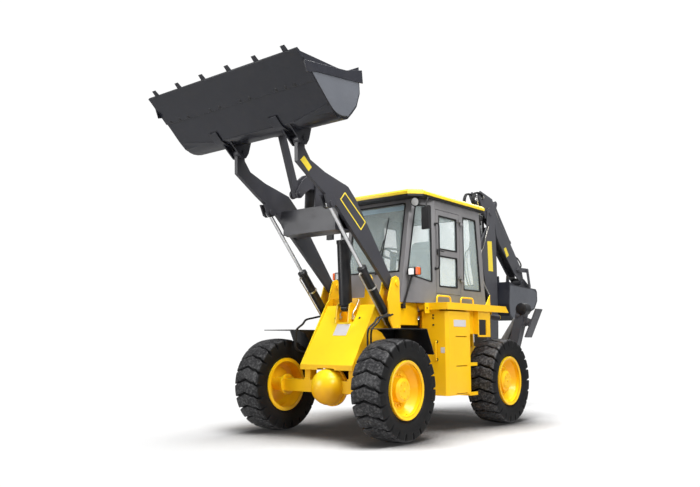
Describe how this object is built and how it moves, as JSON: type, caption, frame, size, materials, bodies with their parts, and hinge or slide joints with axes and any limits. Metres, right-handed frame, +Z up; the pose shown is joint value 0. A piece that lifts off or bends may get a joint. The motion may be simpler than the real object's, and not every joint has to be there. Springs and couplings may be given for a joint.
{
  "type": "articulated backhoe loader",
  "caption": "Yellow articulated backhoe loader with raised toothed front bucket, grey cab and folded dark grey backhoe",
  "frame": {"origin": "centre of the bounding box in plan, on the ground plane", "axes": "+X to the machine's left, +Y to its rear, +Z up"},
  "size_m": [2.5196, 7.4412, 4.0959],
  "materials": {
    "yellow": "semi-gloss machine yellow",
    "dark_grey": "dark grey paint",
    "cab_grey": "mid grey paint",
    "black": "black paint",
    "rubber": "moulded rubber",
    "rod_chrome": "hard chrome",
    "window": "clear pale green",
    "seat_cover": "black vinyl",
    "steel": "dark cast iron"
  },
  "bodies": {
    "chassis": {"rear_chassis": "yellow", "rear_axle": "yellow", "engine_block": "steel", "side_box_left": "yellow", "side_box_right": "yellow", "deck": "yellow", "front_platform": "yellow", "cab_shell": "cab_grey", "cab_roof": "yellow", "cab_glass": "window", "seat": "seat_cover", "steering_column": "black", "hoe_frame": "dark_grey", "mirrors": "black", "head_lamps": "black"},
    "front": {"front_frame": "yellow", "tower_left": "yellow", "tower_right": "yellow", "front_axle": "yellow", "fender_left": "black", "fender_right": "black"},
    "door": {"cab_door": "cab_grey", "door_glass": "window"},
    "arms": {"loader_arms": "dark_grey"},
    "bucket": {"loader_bucket": "dark_grey"},
    "crank": {"bellcrank": "dark_grey"},
    "link": {"bucket_link": "dark_grey"},
    "tilt_cylinder": {"tilt_barrel": "black"},
    "tilt_piston": {"tilt_rod": "rod_chrome"},
    "lift_cylinders": {"lift_barrels": "black"},
    "lift_pistons": {"lift_rods": "rod_chrome"},
    "post": {"swing_post": "dark_grey"},
    "boom_body": {"hoe_boom": "dark_grey"},
    "boom_cylinder": {"boom_barrel": "dark_grey"},
    "boom_piston": {"boom_rod": "rod_chrome"},
    "dipper_body": {"hoe_dipper": "dark_grey"},
    "crowd_cylinder": {"crowd_barrel": "dark_grey"},
    "crowd_piston": {"crowd_rod": "rod_chrome"},
    "hoe_bucket_body": {"hoe_bucket": "dark_grey"},
    "hoe_lever_body": {"hoe_lever": "dark_grey"},
    "hoe_link_body": {"hoe_link": "dark_grey"},
    "hoe_cylinder": {"hoe_bucket_barrel": "dark_grey"},
    "hoe_piston": {"hoe_bucket_rod": "rod_chrome"},
    "wheel_front_left": {"tyre_front_left": "rubber", "rim_front_left": "yellow"},
    "wheel_front_right": {"tyre_front_right": "rubber", "rim_front_right": "yellow"},
    "wheel_rear_left": {"tyre_rear_left": "rubber", "rim_rear_left": "yellow"},
    "wheel_rear_right": {"tyre_rear_right": "rubber", "rim_rear_right": "yellow"},
    "leg_body_left": {"stabiliser_leg_left": "dark_grey"},
    "leg_cylinder_left": {"stabiliser_barrel_left": "dark_grey"},
    "leg_piston_left": {"stabiliser_rod_left": "rod_chrome"},
    "pad_body_left": {"stabiliser_pad_left": "dark_grey"},
    "leg_body_right": {"stabiliser_leg_right": "dark_grey"},
    "leg_cylinder_right": {"stabiliser_barrel_right": "dark_grey"},
    "leg_piston_right": {"stabiliser_rod_right": "rod_chrome"},
    "pad_body_right": {"stabiliser_pad_right": "dark_grey"}
  },
  "joints": [
    {"name": "steer", "type": "hinge", "parent": "chassis", "child": "front", "pos_m": [0, -0.43137, 1.01994], "axis": [0, 0, 1], "range_deg": [-35, 35]},
    {"name": "roll_front_left", "type": "hinge", "parent": "front", "child": "wheel_front_left", "pos_m": [0.945, -1.70637, 0.58744], "axis": [1, 0, 0], "continuous": true},
    {"name": "roll_front_right", "type": "hinge", "parent": "front", "child": "wheel_front_right", "pos_m": [-0.945, -1.70637, 0.58744], "axis": [1, 0, 0], "continuous": true},
    {"name": "roll_rear_left", "type": "hinge", "parent": "chassis", "child": "wheel_rear_left", "pos_m": [0.945, 0.84363, 0.58744], "axis": [1, 0, 0], "continuous": true},
    {"name": "roll_rear_right", "type": "hinge", "parent": "chassis", "child": "wheel_rear_right", "pos_m": [-0.945, 0.84363, 0.58744], "axis": [1, 0, 0], "continuous": true},
    {"name": "door_swing", "type": "hinge", "parent": "chassis", "child": "door", "pos_m": [0.73, 0.22863, 2.29994], "axis": [0, 0, 1], "range_deg": [0, 100]},
    {"name": "lift", "type": "hinge", "parent": "front", "child": "arms", "pos_m": [0, -1.11637, 1.86994], "axis": [-1, 0, 0], "range_deg": [-83, 0]},
    {"name": "bucket_tilt", "type": "hinge", "parent": "arms", "child": "bucket", "pos_m": [0, -2.86237, 3.37794], "axis": [1, 0, 0], "range_deg": [-40, 80]},
    {"name": "crank_turn", "type": "hinge", "parent": "arms", "child": "crank", "pos_m": [0, -2.06637, 3.06994], "axis": [-1, 0, 0], "range_deg": [-23.4, 45.8]},
    {"name": "link_turn", "type": "hinge", "parent": "crank", "child": "link", "pos_m": [0, -2.38837, 2.88794], "axis": [1, 0, 0], "range_deg": [-33.8, 66.6]},
    {"name": "tilt_barrel_turn", "type": "hinge", "parent": "front", "child": "tilt_cylinder", "pos_m": [0, -1.43937, 1.55994], "axis": [-1, 0, 0], "range_deg": [-84.8, 1]},
    {"name": "tilt_rod_slide", "type": "slide", "parent": "tilt_cylinder", "child": "tilt_piston", "axis": [0, -0.0631, 0.998], "range_m": [-0.59462, 0.002]},
    {"name": "lift_barrel_turn", "type": "hinge", "parent": "front", "child": "lift_cylinders", "pos_m": [0, -1.10637, 1.30994], "axis": [-1, 0, 0], "range_deg": [-78.89, 1]},
    {"name": "lift_rod_slide", "type": "slide", "parent": "lift_cylinders", "child": "lift_pistons", "axis": [0, -0.6634, 0.7483], "range_m": [-0.73248, 0.002]},
    {"name": "swing", "type": "hinge", "parent": "chassis", "child": "post", "pos_m": [0, 2.04363, 1.19994], "axis": [0, 0, 1], "range_deg": [-90, 90]},
    {"name": "boom", "type": "hinge", "parent": "post", "child": "boom_body", "pos_m": [0, 2.34863, 1.10994], "axis": [-1, 0, 0], "range_deg": [0, 110]},
    {"name": "boom_barrel_turn", "type": "hinge", "parent": "post", "child": "boom_cylinder", "pos_m": [0, 2.05363, 1.57994], "axis": [-1, 0, 0], "range_deg": [-1, 113.2]},
    {"name": "boom_rod_slide", "type": "slide", "parent": "boom_cylinder", "child": "boom_piston", "axis": [0, 0.0016, 1], "range_m": [-0.002, 0.91049]},
    {"name": "dipper", "type": "hinge", "parent": "boom_body", "child": "dipper_body", "pos_m": [0, 2.29363, 3.29994], "axis": [1, 0, 0], "range_deg": [0, 110]},
    {"name": "crowd_barrel_turn", "type": "hinge", "parent": "boom_body", "child": "crowd_cylinder", "pos_m": [0, 2.36363, 2.22994], "axis": [1, 0, 0], "range_deg": [-1, 3.82]},
    {"name": "crowd_rod_slide", "type": "slide", "parent": "crowd_cylinder", "child": "crowd_piston", "axis": [0, -0.2121, 0.9772], "range_m": [-0.47885, 0.002]},
    {"name": "hoe_bucket_turn", "type": "hinge", "parent": "dipper_body", "child": "hoe_bucket_body", "pos_m": [0, 3.49363, 2.19994], "axis": [1, 0, 0], "range_deg": [0, 125]},
    {"name": "hoe_lever_turn", "type": "hinge", "parent": "dipper_body", "child": "hoe_lever_body", "pos_m": [0, 3.30363, 2.39994], "axis": [1, 0, 0], "range_deg": [-1, 83.5]},
    {"name": "hoe_link_turn", "type": "hinge", "parent": "hoe_lever_body", "child": "hoe_link_body", "pos_m": [0, 3.60363, 2.40994], "axis": [-1, 0, 0], "range_deg": [-1, 73.5]},
    {"name": "hoe_cylinder_turn", "type": "hinge", "parent": "dipper_body", "child": "hoe_cylinder", "pos_m": [0, 2.59363, 3.49994], "axis": [1, 0, 0], "range_deg": [-1, 3]},
    {"name": "hoe_rod_slide", "type": "slide", "parent": "hoe_cylinder", "child": "hoe_piston", "axis": [0, 0.6797, -0.7335], "range_m": [-0.38325, 0.002]},
    {"name": "leg_left", "type": "hinge", "parent": "chassis", "child": "leg_body_left", "pos_m": [0.665, 1.59363, 0.46994], "axis": [0, 1, 0], "range_deg": [0, 95]},
    {"name": "leg_barrel_turn_left", "type": "hinge", "parent": "chassis", "child": "leg_cylinder_left", "pos_m": [0.46, 1.59363, 0.84994], "axis": [0, 1, 0], "range_deg": [-1, 86.91]},
    {"name": "leg_rod_slide_left", "type": "slide", "parent": "leg_cylinder_left", "child": "leg_piston_left", "axis": [0.5772, 0, 0.8166], "range_m": [-0.002, 0.61418]},
    {"name": "pad_left", "type": "hinge", "parent": "leg_body_left", "child": "pad_body_left", "pos_m": [1.095, 1.59363, 1.42794], "axis": [0, -1, 0], "range_deg": [-1, 30.16]},
    {"name": "leg_right", "type": "hinge", "parent": "chassis", "child": "leg_body_right", "pos_m": [-0.665, 1.59363, 0.46994], "axis": [0, -1, 0], "range_deg": [0, 95]},
    {"name": "leg_barrel_turn_right", "type": "hinge", "parent": "chassis", "child": "leg_cylinder_right", "pos_m": [-0.46, 1.59363, 0.84994], "axis": [0, -1, 0], "range_deg": [-1, 86.91]},
    {"name": "leg_rod_slide_right", "type": "slide", "parent": "leg_cylinder_right", "child": "leg_piston_right", "axis": [-0.5772, 0, 0.8166], "range_m": [-0.002, 0.61418]},
    {"name": "pad_right", "type": "hinge", "parent": "leg_body_right", "child": "pad_body_right", "pos_m": [-1.095, 1.59363, 1.42794], "axis": [0, 1, 0], "range_deg": [-1, 30.16]}
  ],
  "couplings": [
    {"joint": "crank_turn", "follows": "bucket_tilt", "ratio": 0.56},
    {"joint": "link_turn", "follows": "bucket_tilt", "ratio": 0.82},
    {"joint": "tilt_barrel_turn", "follows": "lift", "ratio": 1.0096},
    {"joint": "tilt_rod_slide", "follows": "lift", "m_per_rad": 0.40909},
    {"joint": "lift_barrel_turn", "follows": "lift", "ratio": 0.93843},
    {"joint": "lift_rod_slide", "follows": "lift", "m_per_rad": 0.50426},
    {"joint": "boom_barrel_turn", "follows": "boom", "ratio": 1.02},
    {"joint": "boom_rod_slide", "follows": "boom", "m_per_rad": 0.47321},
    {"joint": "crowd_barrel_turn", "follows": "dipper", "ratio": 0.0256},
    {"joint": "crowd_rod_slide", "follows": "dipper", "m_per_rad": -0.24838},
    {"joint": "hoe_lever_turn", "follows": "hoe_bucket_turn", "ratio": 0.66},
    {"joint": "hoe_link_turn", "follows": "hoe_bucket_turn", "ratio": 0.58},
    {"joint": "hoe_cylinder_turn", "follows": "hoe_bucket_turn", "ratio": 0.016},
    {"joint": "hoe_rod_slide", "follows": "hoe_bucket_turn", "m_per_rad": -0.17475},
    {"joint": "leg_barrel_turn_left", "follows": "leg_left", "ratio": 0.9043},
    {"joint": "leg_rod_slide_left", "follows": "leg_left", "m_per_rad": 0.36921},
    {"joint": "pad_left", "follows": "leg_left", "ratio": 0.307},
    {"joint": "leg_barrel_turn_right", "follows": "leg_right", "ratio": 0.9043},
    {"joint": "leg_rod_slide_right", "follows": "leg_right", "m_per_rad": 0.36921},
    {"joint": "pad_right", "follows": "leg_right", "ratio": 0.307}
  ]
}
